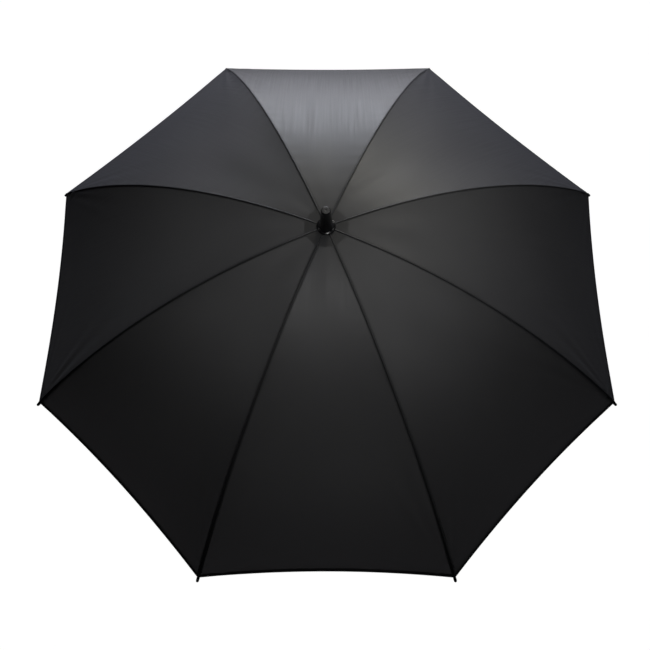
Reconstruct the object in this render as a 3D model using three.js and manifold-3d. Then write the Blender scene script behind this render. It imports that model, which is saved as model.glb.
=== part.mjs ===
// Stick umbrella, open, with eight ribs and eight canopy panels.
// Millimetres. The shaft stands on +Z over the origin; z = 0 is the lowest point of the crook handle.
// Ribs stand at azimuths 22.5, 67.5, ... degrees, so a flat side of the canopy faces -Y.

import * as THREE from 'three';
import { mergeVertices } from 'three/addons/utils/BufferGeometryUtils.js';
import Module from 'manifold-3d';

const wasm = await Module();
wasm.setup();

// ---------------------------------------------------------------- driving dimensions
const DEGREE = Math.PI / 180;
const GAP = 0.3;                     // working clearance between neighbouring pieces

const RIBS = 8;
const RIB_STEP = (2 * Math.PI) / RIBS;
const PIVOT_RADIUS = 8.5;            // circle of the rib eyelets in the crown, and of the runner's
const PIVOT_Z = 775;                 // height of the crown's eyelet circle
const RIB_REACH = 576;               // channel length, measured along the rib from its eyelet
const RIB_END = 585;                 // end of the pin that carries the tip
const TIP_SLOPE = 46.5 * DEGREE;     // downward slope at the rib's end
const SLOPE_BULGE = 0.085;           // share by which the slope runs ahead of an even bend
const JOINT_STATION = 250;           // where the stretcher joins the rib, along the rib
const JOINT_DROP = 4.5;              // joint axis below the rib's centreline

const CHANNEL_WIDTH = 3.2;
const CHANNEL_TOP = 1.4;             // channel section above and below its centreline
const CHANNEL_BOTTOM = -1.6;
const CHANNEL_WALL = 0.5;
const CURVE_STEPS = 14;              // straight lengths that make up a rib's or a panel's curve
const TONGUE_WIDTH = 1.6;            // flat eyelet plates
const TONGUE_HALF = 1.2;             // half their height
const TONGUE_LENGTH = 6;             // from an eyelet to the start of the channel
const EYE_RADIUS = 1.9;
const EYE_HOLE = 0.8;
const WIRE_RADIUS = 0.45;
const RIVET_RADIUS = 0.9;
const RIVET_HEAD = 1.9;
const RIVET_HEAD_THICKNESS = 0.6;
const RIVET_HOLE = RIVET_RADIUS + GAP;
const FORK_RADIUS = 2.4;             // round ends of the stretcher's two cheeks
const FORK_LENGTH = 4;               // how far the cheeks lie along the stretcher's bar
const BAR_HALF = 1.4;                // half the stretcher's height
const LUG_RADIUS = 2.6;              // round end of the plate under the rib
const LUG_HALF = 2;
const END_PIN_RADIUS = 1.1;          // pin at the rib's end
const END_PIN_ROOT = 6;              // its length inside the channel

const FABRIC_UNDER = 2.8;            // underside of the canopy above the rib's centreline
const FABRIC_THICKNESS = 0.8;
const FABRIC_TOP_Z = PIVOT_Z + FABRIC_UNDER + FABRIC_THICKNESS;
const WASHER_THICKNESS = 1.5;
const FABRIC_HOLE = 6.5;
const FABRIC_CORNER = 579;           // station of a panel's outer corner
const HEM_SCALLOP = 13.5;            // how far the hem curves in at mid-panel
const PANEL_SAG = 6;                 // how far a panel hangs below its chords
const SEAM_GAP = 0.2;
const STRAP_START = 430;             // station where the closing strap begins
const STRAP_LENGTH = 115;
const STRAP_WIDTH = 18;
const STRAP_OFFSET = 4;              // from the rib's centreline
const STRAP_THICKNESS = 0.8;
const STRAP_RIB = 3;                 // counted from 1
const STRAP_CLEARANCE = 0.8;         // below the cloth
const SNAP_INSET = 14;               // from the strap's inner end
const SNAP_RADIUS = 5;
const PATCH_UNDER = 1.7;
const PATCH_THICKNESS = 0.4;
const PATCH_START = 4;               // station of the crown patch's hole
const PATCH_REACH = 22.5;            // station of the crown patch's rim

const SHAFT_RADIUS = 5;
const SHAFT_BORE = 4.4;
const SHAFT_BOTTOM = 106;
const SHAFT_TOP = 800;
const BORE_ROUND_SHAFT = SHAFT_RADIUS + GAP;

const COLLAR_RADIUS = 12;            // slotted collars of the crown and the runner
const COLLAR_BOTTOM = -3.2;
const COLLAR_TOP = 1.4;
const SLOT_WIDTH = TONGUE_WIDTH + 2 * GAP;
const SLOT_FLOOR = 6.3;
const GROOVE_FLOOR = 7.6;
const GROOVE_HALF = 0.8;
const SLEEVE_RADIUS = 7;
const CROWN_HUB_BOTTOM = -12;
const CROWN_PIN_Z = PIVOT_Z - 8;
const CROSS_PIN_LENGTH = 13.4;
const RUNNER_SLEEVE_BOTTOM = -64;
const RUNNER_PIN_DROP = 50;
const RUNNER_PIN_RADIUS = 0.8;
const SLOT_SPARE = 4;                // shaft slot beyond the runner pin's travel

const TIP_RADIUS = 2.4;
const TIP_RIM = 0.4;                 // the tip's open end stands out by this
const TIP_LENGTH = 15;

const FLANGE_RADIUS = 14.4;          // ferrule
const FLANGE_SEAT = 12.2;
const FERRULE_NECK = 11.5;
const FERRULE_END = 5.4;
const FERRULE_HEIGHT = 49.6;         // above the cloth
const FERRULE_BORE_TOP = 21.7;
const WASHER_RADIUS = 11.8;

const HANDLE_RADIUS = 11.5;
const HANDLE_TOP = 178;
const CROOK_RADIUS = 42;
const CROOK_Z = CROOK_RADIUS + HANDLE_RADIUS;
const CROOK_RISE = 26;               // straight length after the bend
const HOUSING_RADIUS = 12.4;
const HOUSING_TOP = 240;
const HOUSING_MOUTH = 7.6;
const MOUTH_FLOOR = 228;
const BUTTON_Z = 205;
const BUTTON_WIDTH = 7.4;
const BUTTON_HEIGHT = 13.4;
const BUTTON_FACE = -15;             // outermost x of the button
const BUTTON_BACK = -9.3;
const BUTTON_LIP = 1;                // flange that keeps the button in
const POCKET_DEPTH = -10.6;          // x of the pocket's outer wall
const PLUG_TOP = 222;                // plug under the opening spring
const PLUG_RADIUS = 4.1;
const PLUG_LENGTH = 12;
const SPRING_RADIUS = 3.4;           // opening spring, to the middle of the wire
const SPRING_WIRE = 0.5;
const SPRING_COILS = 20;
const BUTTON_SPRING_RADIUS = 2.4;
const BUTTON_SPRING_WIRE = 0.35;
const BUTTON_SPRING_COILS = 3;
const BUTTON_SPRING_LENGTH = 2.8;
const BUTTON_SPRING_SEAT = -5.8;     // x of the end next to the shaft
const CLOSED_FOLD = 63 * DEGREE;     // how far a rib turns down to close

// ---------------------------------------------------------------- materials
const finish = (color, roughness, metalness) =>
  new THREE.MeshStandardMaterial({ color, roughness, metalness });
const FABRIC = finish(0x2c2c32, 0.75, 0);
const FABRIC_DARK = finish(0x1b1b20, 0.85, 0);
const BLACK_STEEL = finish(0x17171a, 0.4, 0.8);
const BRIGHT_STEEL = finish(0xb4b7ba, 0.3, 1);
const GLOSS_BLACK = finish(0x0c0c0e, 0.25, 0);
const SATIN_BLACK = finish(0x141416, 0.5, 0);
const SOFT_BLACK = finish(0x18181a, 0.8, 0);
const TIP_BLACK = finish(0x1c1c1e, 0.35, 0.6);

// ---------------------------------------------------------------- solids
const umbrella = new THREE.Group();

function add(name, geometry, material, azimuth = 0) {
  const mesh = new THREE.Mesh(geometry, material);
  mesh.name = name;
  mesh.rotation.z = azimuth;
  umbrella.add(mesh);
}

function merged(geometry) {
  const bare = geometry.clone();
  bare.deleteAttribute('normal');
  bare.deleteAttribute('uv');
  return mergeVertices(bare, 1e-4);
}

function solid(geometry) {
  const mesh = merged(geometry);
  return new wasm.Manifold(new wasm.Mesh({
    numProp: 3,
    vertProperties: new Float32Array(mesh.attributes.position.array),
    triVerts: new Uint32Array(mesh.index.array),
  }));
}

function geometryOf(body) {
  const mesh = body.getMesh();
  const geometry = new THREE.BufferGeometry();
  geometry.setAttribute('position', new THREE.BufferAttribute(mesh.vertProperties, 3));
  geometry.setIndex(new THREE.BufferAttribute(mesh.triVerts, 1));
  geometry.computeVertexNormals();
  return geometry;
}

function join(first, ...others) {
  return geometryOf(others.reduce((sum, other) => sum.add(solid(other)), solid(first)));
}

function cut(first, ...others) {
  return geometryOf(others.reduce((rest, other) => rest.subtract(solid(other)), solid(first)));
}

function bend(geometry, place) {
  const mesh = merged(geometry);
  const points = mesh.attributes.position;
  for (let i = 0; i < points.count; i++) {
    const p = place(points.getX(i), points.getY(i), points.getZ(i));
    points.setXYZ(i, p.x, p.y, p.z);
  }
  mesh.computeVertexNormals();
  return mesh;
}

function box(x0, x1, y0, y1, z0, z1) {
  return new THREE.BoxGeometry(x1 - x0, y1 - y0, z1 - z0)
    .translate((x0 + x1) / 2, (y0 + y1) / 2, (z0 + z1) / 2);
}

// A ring or turned piece about +Z. Each corner is [radius, height]; the outline runs anticlockwise.
function turned(corners, segments = 20) {
  const outline = corners.map(([r, z]) => new THREE.Vector2(r, z));
  if (corners[0][0] > 0) outline.push(outline[0].clone());
  return new THREE.LatheGeometry(outline, segments).rotateX(Math.PI / 2);
}

// A round bar about the Y axis, its middle at (x, y, z).
function crossBar(radius, length, x, z, sides = 8) {
  return new THREE.CylinderGeometry(radius, radius, length, sides).translate(x, 0, z);
}

// A plate in the XZ plane: a bar of half-height from x0 to x1 with a round eye and hole at the origin.
function eyePlate(eye, hole, halfHeight, length, thickness, y = 0) {
  const rise = Math.asin(halfHeight / eye);
  const shape = new THREE.Shape();
  shape.moveTo(length, -halfHeight);
  shape.lineTo(length, halfHeight);
  shape.absarc(0, 0, eye, rise, 2 * Math.PI - rise, false);
  shape.holes.push(new THREE.Path().absarc(0, 0, hole, 0, 2 * Math.PI, true));
  return new THREE.ExtrudeGeometry(shape, { depth: thickness, bevelEnabled: false, curveSegments: 4 })
    .translate(0, 0, -thickness / 2).rotateX(Math.PI / 2).translate(0, y, 0);
}

// ---------------------------------------------------------------- the rib's curve
// At azimuth 0: radius, height and downward slope at a distance along the rib from its eyelet.
function ribAt(station) {
  const slopeAt = (s) => {
    const share = Math.max(s, 0) / RIB_END;
    return TIP_SLOPE * (share + SLOPE_BULGE * Math.sin(Math.PI * share));
  };
  const steps = Math.max(1, Math.round(Math.abs(station) / 2));
  const length = station / steps;
  let radius = PIVOT_RADIUS;
  let height = PIVOT_Z;
  for (let i = 0; i < steps; i++) {
    const slope = slopeAt((i + 0.5) * length);
    radius += length * Math.cos(slope);
    height -= length * Math.sin(slope);
  }
  return { radius, height, slope: slopeAt(station) };
}

// The point at a station, a height above the rib's centreline and a distance across it.
function onRib(station, across, above) {
  const { radius, height, slope } = ribAt(station);
  return new THREE.Vector3(radius + above * Math.sin(slope), across, height + above * Math.cos(slope));
}

// The point of the canopy between two ribs: share 0 lies over the first rib and 1 over the next.
function onPanel(station, share, above) {
  const first = onRib(station, 0, above);
  const next = first.clone().applyAxisAngle(new THREE.Vector3(0, 0, 1), RIB_STEP);
  const swell = Math.sin(0.75 * Math.PI * Math.max(0, station) / RIB_END) ** 2;
  const hang = PANEL_SAG * swell * 4 * share * (1 - share);
  return first.lerp(next, share).add(new THREE.Vector3(0, 0, -hang));
}

const ribChord = (station) => 2 * ribAt(station).radius * Math.sin(RIB_STEP / 2);

// ---------------------------------------------------------------- linkage
const joint = onRib(JOINT_STATION, 0, -JOINT_DROP);
const crownPivot = new THREE.Vector3(PIVOT_RADIUS, 0, PIVOT_Z);
const LINK = joint.distanceTo(crownPivot);
const OPEN_ANGLE = Math.acos((PIVOT_Z - joint.z) / LINK);
const RUNNER_Z = PIVOT_Z - 2 * LINK * Math.cos(OPEN_ANGLE);
const RUNNER_CLOSED_Z = PIVOT_Z - 2 * LINK * Math.cos(OPEN_ANGLE - CLOSED_FOLD);

// ---------------------------------------------------------------- ribs
function channelShape() {
  const half = CHANNEL_WIDTH / 2;
  const inner = half - CHANNEL_WALL;
  const shape = new THREE.Shape();
  shape.moveTo(-half, CHANNEL_BOTTOM);
  shape.lineTo(-inner, CHANNEL_BOTTOM);
  shape.lineTo(-inner, CHANNEL_TOP - CHANNEL_WALL);
  shape.lineTo(inner, CHANNEL_TOP - CHANNEL_WALL);
  shape.lineTo(inner, CHANNEL_BOTTOM);
  shape.lineTo(half, CHANNEL_BOTTOM);
  shape.lineTo(half, CHANNEL_TOP);
  shape.lineTo(-half, CHANNEL_TOP);
  return shape;
}

function ribGeometry() {
  const length = RIB_REACH - TONGUE_LENGTH;
  const straight = new THREE.ExtrudeGeometry(channelShape(), {
    depth: length, steps: CURVE_STEPS, bevelEnabled: false,
  });
  const channel = bend(straight, (across, above, along) => onRib(along + TONGUE_LENGTH, across, above));
  const tongue = eyePlate(EYE_RADIUS, EYE_HOLE, TONGUE_HALF, 3 * TONGUE_LENGTH, TONGUE_WIDTH)
    .translate(PIVOT_RADIUS, 0, PIVOT_Z);
  const slope = ribAt(JOINT_STATION).slope;
  const lugLength = JOINT_DROP + CHANNEL_TOP - CHANNEL_WALL / 2;
  const lug = eyePlate(LUG_RADIUS, RIVET_HOLE, LUG_HALF, lugLength, TONGUE_WIDTH)
    .rotateY(slope - Math.PI / 2).translate(joint.x, 0, joint.z);
  const end = ribAt(RIB_REACH);
  const past = RIB_END - RIB_REACH;
  const pin = new THREE.CylinderGeometry(END_PIN_RADIUS, END_PIN_RADIUS, past + END_PIN_ROOT, 8)
    .rotateZ(-Math.PI / 2).translate((past - END_PIN_ROOT) / 2, 0, 0)
    .rotateY(end.slope).translate(end.radius, 0, end.height);
  return join(channel, tongue, lug, pin);
}

// A thimble on the rib's end pin, its open end against the channel.
function ribTipGeometry() {
  const end = ribAt(RIB_REACH);
  const bore = END_PIN_RADIUS + GAP;
  const depth = RIB_END - RIB_REACH + GAP;
  const mouth = 0.5;
  const profile = [
    [0, depth], [bore, depth], [bore, mouth],
    [TIP_RADIUS + TIP_RIM, mouth], [TIP_RADIUS + TIP_RIM, 4 * mouth], [TIP_RADIUS, 5 * mouth],
    [TIP_RADIUS, TIP_LENGTH - 1.6], [TIP_RADIUS * 0.6, TIP_LENGTH - 0.3], [0, TIP_LENGTH],
  ];
  return turned(profile, 8).rotateY(Math.PI / 2 + end.slope).translate(end.radius, 0, end.height);
}

function rivetGeometry() {
  const inner = CHANNEL_WIDTH / 2 + GAP;
  const outer = inner + RIVET_HEAD_THICKNESS;
  const profile = [
    [0, -outer], [RIVET_HEAD, -outer], [RIVET_HEAD, -inner], [RIVET_RADIUS, -inner],
    [RIVET_RADIUS, inner], [RIVET_HEAD, inner], [RIVET_HEAD, outer], [0, outer],
  ];
  return turned(profile, 8).rotateX(Math.PI / 2).translate(joint.x, 0, joint.z);
}

// Drawn along +X from the rib joint to the runner eyelet, then turned into place.
function stretcherGeometry() {
  const half = CHANNEL_WIDTH / 2;
  const inner = half - CHANNEL_WALL;
  const start = LUG_RADIUS + 1;
  const finishAt = LINK - TONGUE_LENGTH;
  const bar = cut(
    box(start, finishAt, -half, half, -BAR_HALF, BAR_HALF),
    box(start - 1, finishAt + 1, -inner, inner, -BAR_HALF + CHANNEL_WALL, 2 * BAR_HALF),
  );
  const cheek = (side) => eyePlate(FORK_RADIUS, RIVET_HOLE, BAR_HALF, start + FORK_LENGTH, CHANNEL_WALL,
    side * (half - CHANNEL_WALL / 2));
  const tongue = eyePlate(EYE_RADIUS, EYE_HOLE, TONGUE_HALF, 3 * TONGUE_LENGTH, TONGUE_WIDTH)
    .rotateZ(Math.PI).translate(LINK, 0, 0);
  return join(bar, cheek(-1), cheek(1), tongue)
    .rotateY(Math.PI / 2 + OPEN_ANGLE).translate(joint.x, 0, joint.z);
}

// ---------------------------------------------------------------- canopy
// A slab of unit size becomes a panel: x runs along the rib, y across to the next rib, z through the cloth.
function panelGeometry() {
  const slab = new THREE.BoxGeometry(1, 1, 1, CURVE_STEPS, 4, 1).translate(0.5, 0.5, 0.5);
  const start = FABRIC_HOLE - PIVOT_RADIUS;
  return bend(slab, (along, across, through) => {
    const corner = FABRIC_CORNER - HEM_SCALLOP * 4 * across * (1 - across);
    const station = start + (corner - start) * along ** 1.2;
    const edge = SEAM_GAP / ribChord(station);
    return onPanel(station, edge + (1 - 2 * edge) * across, FABRIC_UNDER + FABRIC_THICKNESS * through);
  });
}

// An eight-sided dish whose corners lie over the ribs.
function patchGeometry() {
  const at = (station, above) => {
    const point = onRib(station, 0, above);
    return [point.x, point.z];
  };
  const top = PATCH_UNDER + PATCH_THICKNESS;
  const middle = (PATCH_START + PATCH_REACH) / 2;
  const profile = [
    at(PATCH_START, PATCH_UNDER), at(middle, PATCH_UNDER), at(PATCH_REACH, PATCH_UNDER),
    at(PATCH_REACH, top), at(middle, top), at(PATCH_START, top),
  ];
  return turned(profile, RIBS).rotateZ(RIB_STEP / 2);
}

// A strip of the cloth's shape, lying just under it beside a rib.
function strapGeometry() {
  const strip = new THREE.BoxGeometry(1, 1, 1, 5, 1, 1).translate(0.5, 0.5, 0.5);
  return bend(strip, (along, across, through) => {
    const station = STRAP_START + STRAP_LENGTH * along;
    const share = (STRAP_OFFSET + STRAP_WIDTH * across) / ribChord(station);
    return onPanel(station, share, FABRIC_UNDER - STRAP_CLEARANCE - STRAP_THICKNESS * (1 - through));
  });
}

function snapGeometry() {
  const station = STRAP_START + SNAP_INSET;
  const share = (STRAP_OFFSET + STRAP_WIDTH / 2) / ribChord(station);
  const above = FABRIC_UNDER - STRAP_CLEARANCE - STRAP_THICKNESS - GAP;
  const centre = onPanel(station, share, above);
  const ahead = onPanel(station + 2, share, above).sub(centre).normalize();
  const aside = onPanel(station, share + 0.01, above).sub(centre).normalize();
  const frame = new THREE.Matrix4().makeBasis(ahead, aside, ahead.clone().cross(aside).normalize());
  return turned([
    [0, -2.4], [0.72 * SNAP_RADIUS, -2.4], [SNAP_RADIUS, -1.6], [SNAP_RADIUS, -0.1], [0, -0.1],
  ], 16).applyMatrix4(frame).translate(centre.x, centre.y, centre.z);
}

// ---------------------------------------------------------------- crown, runner and their wires
// A collar with a groove for the wire, a hub below it, and one slot for each eyelet.
function collarGeometry(hubBottom, height) {
  const groove = [
    [COLLAR_RADIUS, -GROOVE_HALF], [GROOVE_FLOOR, -GROOVE_HALF],
    [GROOVE_FLOOR, GROOVE_HALF], [COLLAR_RADIUS, GROOVE_HALF],
  ];
  const outline = [
    [BORE_ROUND_SHAFT, hubBottom], [SLEEVE_RADIUS, hubBottom], [SLEEVE_RADIUS, COLLAR_BOTTOM],
    [COLLAR_RADIUS - 1.4, COLLAR_BOTTOM], [COLLAR_RADIUS, COLLAR_BOTTOM + 1.2], ...groove,
    [COLLAR_RADIUS, COLLAR_TOP], [BORE_ROUND_SHAFT, COLLAR_TOP],
  ];
  const slots = Array.from({ length: RIBS }, (_, i) =>
    box(SLOT_FLOOR, COLLAR_RADIUS + 2, -SLOT_WIDTH / 2, SLOT_WIDTH / 2, COLLAR_BOTTOM - 0.6, COLLAR_TOP + 1)
      .rotateZ(RIB_STEP * (i + 0.5)));
  return cut(turned(outline, 24), ...slots).translate(0, 0, height);
}

function wireGeometry(height) {
  return new THREE.TorusGeometry(PIVOT_RADIUS, WIRE_RADIUS, 5, 32).translate(0, 0, height);
}

// ---------------------------------------------------------------- shaft and what is in it
class Helix extends THREE.Curve {
  constructor(radius, coils, bottom, top) {
    super();
    Object.assign(this, { radius, coils, bottom, top });
  }

  getPoint(t) {
    const turn = 2 * Math.PI * this.coils * t;
    return new THREE.Vector3(
      this.radius * Math.cos(turn), this.radius * Math.sin(turn), this.bottom + (this.top - this.bottom) * t);
  }
}

function wound(path, wire, steps, sides) {
  const section = new THREE.Shape(Array.from({ length: sides }, (_, i) => new THREE.Vector2(
    wire * Math.cos((2 * Math.PI * i) / sides), wire * Math.sin((2 * Math.PI * i) / sides))));
  return new THREE.ExtrudeGeometry(section, { steps, extrudePath: path, bevelEnabled: false });
}

const RUNNER_PIN_Z = RUNNER_Z - RUNNER_PIN_DROP;

function shaftGeometry() {
  const tube = turned([
    [SHAFT_BORE, SHAFT_BOTTOM], [SHAFT_RADIUS, SHAFT_BOTTOM],
    [SHAFT_RADIUS, SHAFT_TOP], [SHAFT_BORE, SHAFT_TOP],
  ]);
  const slotHalf = RUNNER_PIN_RADIUS + GAP;
  const slot = box(-slotHalf, slotHalf, -SHAFT_RADIUS - 1, SHAFT_RADIUS + 1,
    RUNNER_CLOSED_Z - RUNNER_PIN_DROP - SLOT_SPARE, RUNNER_PIN_Z + SLOT_SPARE);
  return cut(tube, slot, crownPinHole());
}

const crownPinHole = () => crossBar(RIVET_HOLE, 4 * SHAFT_RADIUS, 0, CROWN_PIN_Z).rotateZ(Math.PI / 2);
const crownGeometry = () => cut(collarGeometry(CROWN_HUB_BOTTOM, PIVOT_Z), crownPinHole());

// The runner's sleeve carries two finger rings.
function runnerGeometry() {
  const root = SLEEVE_RADIUS - 0.4;
  const ring = (bottom, radius) => turned([
    [root, bottom], [radius, bottom + 1.2], [radius, bottom + 3], [root, bottom + 4.2],
  ]).translate(0, 0, RUNNER_Z);
  const body = join(collarGeometry(RUNNER_SLEEVE_BOTTOM, RUNNER_Z), ring(-16, 9.6), ring(-46, 8.6));
  return cut(body, crossBar(RUNNER_PIN_RADIUS + GAP, 4 * SHAFT_RADIUS, 0, RUNNER_PIN_Z));
}

// ---------------------------------------------------------------- ferrule and washer
// A plastic cap over the shaft's top: a flange on the cloth, a short neck and a long cone with a dimpled end.
function ferruleGeometry() {
  const seat = GAP + WASHER_THICKNESS + GAP;
  const outline = [
    [0, FERRULE_BORE_TOP], [BORE_ROUND_SHAFT, FERRULE_BORE_TOP], [BORE_ROUND_SHAFT, seat],
    [FLANGE_SEAT, seat], [FLANGE_SEAT, 0.4], [FLANGE_RADIUS, 0.4], [FLANGE_RADIUS, 2.2], [12, 3.2],
    [FERRULE_NECK, 3.9], [FERRULE_NECK, 6.4], [10.7, 9], [9.9, 13], [8.7, 24],
    [7.1, FERRULE_HEIGHT - 3], [6.5, FERRULE_HEIGHT - 0.8], [FERRULE_END, FERRULE_HEIGHT],
    [1.9, FERRULE_HEIGHT], [1.2, FERRULE_HEIGHT - 0.8], [0, FERRULE_HEIGHT - 0.8],
  ];
  return turned(outline).translate(0, 0, FABRIC_TOP_Z);
}

function washerGeometry() {
  return turned([
    [BORE_ROUND_SHAFT, GAP], [WASHER_RADIUS, GAP],
    [WASHER_RADIUS, GAP + WASHER_THICKNESS], [BORE_ROUND_SHAFT, GAP + WASHER_THICKNESS],
  ]).translate(0, 0, FABRIC_TOP_Z);
}

// ---------------------------------------------------------------- handle, latch housing and button
class CrookPath extends THREE.Curve {
  getPoint(t) {
    const grip = HANDLE_TOP - CROOK_Z;
    const along = t * (grip + Math.PI * CROOK_RADIUS + CROOK_RISE);
    const turn = (along - grip) / CROOK_RADIUS;
    if (turn < 0) return new THREE.Vector3(0, 0, HANDLE_TOP - along);
    const bent = Math.min(turn, Math.PI);
    const rise = CROOK_RADIUS * (turn - bent);
    return new THREE.Vector3(
      CROOK_RADIUS * (1 - Math.cos(bent)), 0, CROOK_Z - CROOK_RADIUS * Math.sin(bent) + rise);
  }
}

function handleGeometry() {
  const bar = wound(new CrookPath(), HANDLE_RADIUS, 30, 14);
  const length = HANDLE_TOP - SHAFT_BOTTOM + GAP;
  const bore = new THREE.CylinderGeometry(BORE_ROUND_SHAFT, BORE_ROUND_SHAFT, length + 5, 24)
    .rotateX(Math.PI / 2).translate(0, 0, HANDLE_TOP - (length - 5) / 2);
  return cut(bar, bore);
}

function endCapGeometry() {
  const seat = CROOK_Z + CROOK_RISE + GAP;
  return turned([
    [0, seat], [HANDLE_RADIUS, seat], [HANDLE_RADIUS, seat + 1.6], [HANDLE_RADIUS - 1.4, seat + 3.4],
    [HANDLE_RADIUS - 3.4, seat + 4.2], [0, seat + 4.2],
  ]).translate(2 * CROOK_RADIUS, 0, 0);
}

function housingGeometry() {
  const bottom = HANDLE_TOP + GAP;
  const shell = turned([
    [BORE_ROUND_SHAFT, bottom], [HANDLE_RADIUS, bottom], [HOUSING_RADIUS, bottom + 3],
    [HOUSING_RADIUS, HOUSING_TOP - 16], [10.4, HOUSING_TOP - 2], [9.6, HOUSING_TOP],
    [HOUSING_MOUTH, HOUSING_TOP], [HOUSING_MOUTH, MOUTH_FLOOR], [BORE_ROUND_SHAFT, MOUTH_FLOOR],
  ]);
  const pocket = roundButton(POCKET_DEPTH, 0, BUTTON_LIP + GAP);
  const window = roundButton(-HOUSING_RADIUS - 2, -HOUSING_MOUTH, GAP);
  return cut(shell, pocket, window);
}

// A block from x0 to x1 with the button's outline, larger all round by spare.
function roundButton(x0, x1, spare) {
  const width = BUTTON_WIDTH / 2 + spare;
  const height = BUTTON_HEIGHT / 2 + spare;
  return box(x0, x1, -width, width, BUTTON_Z - height, BUTTON_Z + height);
}

function buttonGeometry() {
  const key = roundButton(BUTTON_FACE, BUTTON_BACK - 0.5, 0);
  return join(key, roundButton(BUTTON_BACK - 1, BUTTON_BACK, BUTTON_LIP));
}

// ---------------------------------------------------------------- assembly
add('shaft', shaftGeometry(), BLACK_STEEL);
add('ferrule', ferruleGeometry(), GLOSS_BLACK);
add('canopy_washer', washerGeometry(), SATIN_BLACK);
add('crown', crownGeometry(), SATIN_BLACK);
add('crown_wire', wireGeometry(PIVOT_Z), BRIGHT_STEEL);
add('crown_pin', crossBar(RIVET_RADIUS, CROSS_PIN_LENGTH, 0, CROWN_PIN_Z).rotateZ(Math.PI / 2), BRIGHT_STEEL);
add('crown_patch', patchGeometry(), FABRIC_DARK);
add('runner', runnerGeometry(), SATIN_BLACK);
add('runner_wire', wireGeometry(RUNNER_Z), BRIGHT_STEEL);
add('runner_pin', crossBar(RUNNER_PIN_RADIUS, CROSS_PIN_LENGTH, 0, RUNNER_PIN_Z), BRIGHT_STEEL);

const springTop = RUNNER_PIN_Z - RUNNER_PIN_RADIUS - 1;
const openingHelix = new Helix(SPRING_RADIUS, SPRING_COILS, PLUG_TOP + 1, springTop);
add('opening_spring', wound(openingHelix, SPRING_WIRE, SPRING_COILS * 7, 4), BRIGHT_STEEL);
add('spring_plug', turned([
  [0, PLUG_TOP - PLUG_LENGTH], [PLUG_RADIUS, PLUG_TOP - PLUG_LENGTH], [PLUG_RADIUS, PLUG_TOP], [0, PLUG_TOP],
], 16), SATIN_BLACK);
add('latch_housing', housingGeometry(), SATIN_BLACK);
add('release_button', buttonGeometry(), GLOSS_BLACK);
const buttonHelix = new Helix(BUTTON_SPRING_RADIUS, BUTTON_SPRING_COILS, 0, BUTTON_SPRING_LENGTH);
add('button_spring', wound(buttonHelix, BUTTON_SPRING_WIRE, BUTTON_SPRING_COILS * 9, 5).rotateY(-Math.PI / 2)
  .translate(BUTTON_SPRING_SEAT, 0, BUTTON_Z), BRIGHT_STEEL);
add('handle', handleGeometry(), SOFT_BLACK);
add('handle_end_cap', endCapGeometry(), SATIN_BLACK);

for (let i = 0; i < RIBS; i++) {
  const azimuth = RIB_STEP * (i + 0.5);
  const number = i + 1;
  add(`rib_${number}`, ribGeometry(), BLACK_STEEL, azimuth);
  add(`rib_tip_${number}`, ribTipGeometry(), TIP_BLACK, azimuth);
  add(`joint_rivet_${number}`, rivetGeometry(), BRIGHT_STEEL, azimuth);
  add(`stretcher_${number}`, stretcherGeometry(), BLACK_STEEL, azimuth);
  add(`canopy_panel_${number}`, panelGeometry(), FABRIC, azimuth);
  if (number === STRAP_RIB) {
    add('closing_strap', strapGeometry(), FABRIC_DARK, azimuth);
    add('strap_snap', snapGeometry(), SATIN_BLACK, azimuth);
  }
}

export default umbrella;
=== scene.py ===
import math

import bmesh
import bpy
import numpy as np
from mathutils import Matrix, Vector


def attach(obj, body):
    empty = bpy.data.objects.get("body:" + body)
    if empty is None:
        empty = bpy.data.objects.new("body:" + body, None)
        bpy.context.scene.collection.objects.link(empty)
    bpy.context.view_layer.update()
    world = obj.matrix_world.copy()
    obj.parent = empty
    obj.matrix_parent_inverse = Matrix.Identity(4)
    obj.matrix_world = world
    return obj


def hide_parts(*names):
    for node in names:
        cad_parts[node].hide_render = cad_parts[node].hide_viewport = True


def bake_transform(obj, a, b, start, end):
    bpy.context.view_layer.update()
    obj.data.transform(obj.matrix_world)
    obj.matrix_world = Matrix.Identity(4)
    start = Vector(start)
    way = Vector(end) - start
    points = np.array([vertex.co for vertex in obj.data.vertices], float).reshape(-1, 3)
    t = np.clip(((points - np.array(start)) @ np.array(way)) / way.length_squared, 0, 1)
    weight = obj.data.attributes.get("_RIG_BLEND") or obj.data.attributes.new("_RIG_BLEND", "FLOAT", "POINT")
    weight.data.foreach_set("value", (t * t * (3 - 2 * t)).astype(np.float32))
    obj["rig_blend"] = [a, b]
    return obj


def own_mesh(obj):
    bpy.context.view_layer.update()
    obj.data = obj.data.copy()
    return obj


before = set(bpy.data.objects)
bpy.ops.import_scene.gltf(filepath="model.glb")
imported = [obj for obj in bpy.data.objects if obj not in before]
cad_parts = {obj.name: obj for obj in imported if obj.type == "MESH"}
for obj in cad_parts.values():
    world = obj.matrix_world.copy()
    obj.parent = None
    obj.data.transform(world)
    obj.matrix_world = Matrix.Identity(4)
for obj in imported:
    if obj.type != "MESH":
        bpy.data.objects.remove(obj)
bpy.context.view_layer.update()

# ---------------------------------------------------------------- the umbrella's dimensions, in metres
RIBS = 8
RIB_STEP = 2 * math.pi / RIBS
PIVOT_RADIUS = 0.0085
PIVOT_Z = 0.775
RIB_REACH = 0.576              # where the rib's channel ends, along the rib
RIB_END = 0.585
TIP_SLOPE = math.radians(46.5)
SLOPE_BULGE = 0.085
CLOTH_ABOVE = 0.0031           # middle of the cloth above the rib's centreline
PATCH_ABOVE = 0.0021
CLOTH_START = -0.0015          # station of the canopy's centre hole
CLOTH_CORNER = 0.579
HEM_SCALLOP = 0.0135
PANEL_SAG = 0.006
HEM_WIDTH = 0.007
PATCH_START = 0.004            # stations of the crown patch's hole and rim
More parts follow.
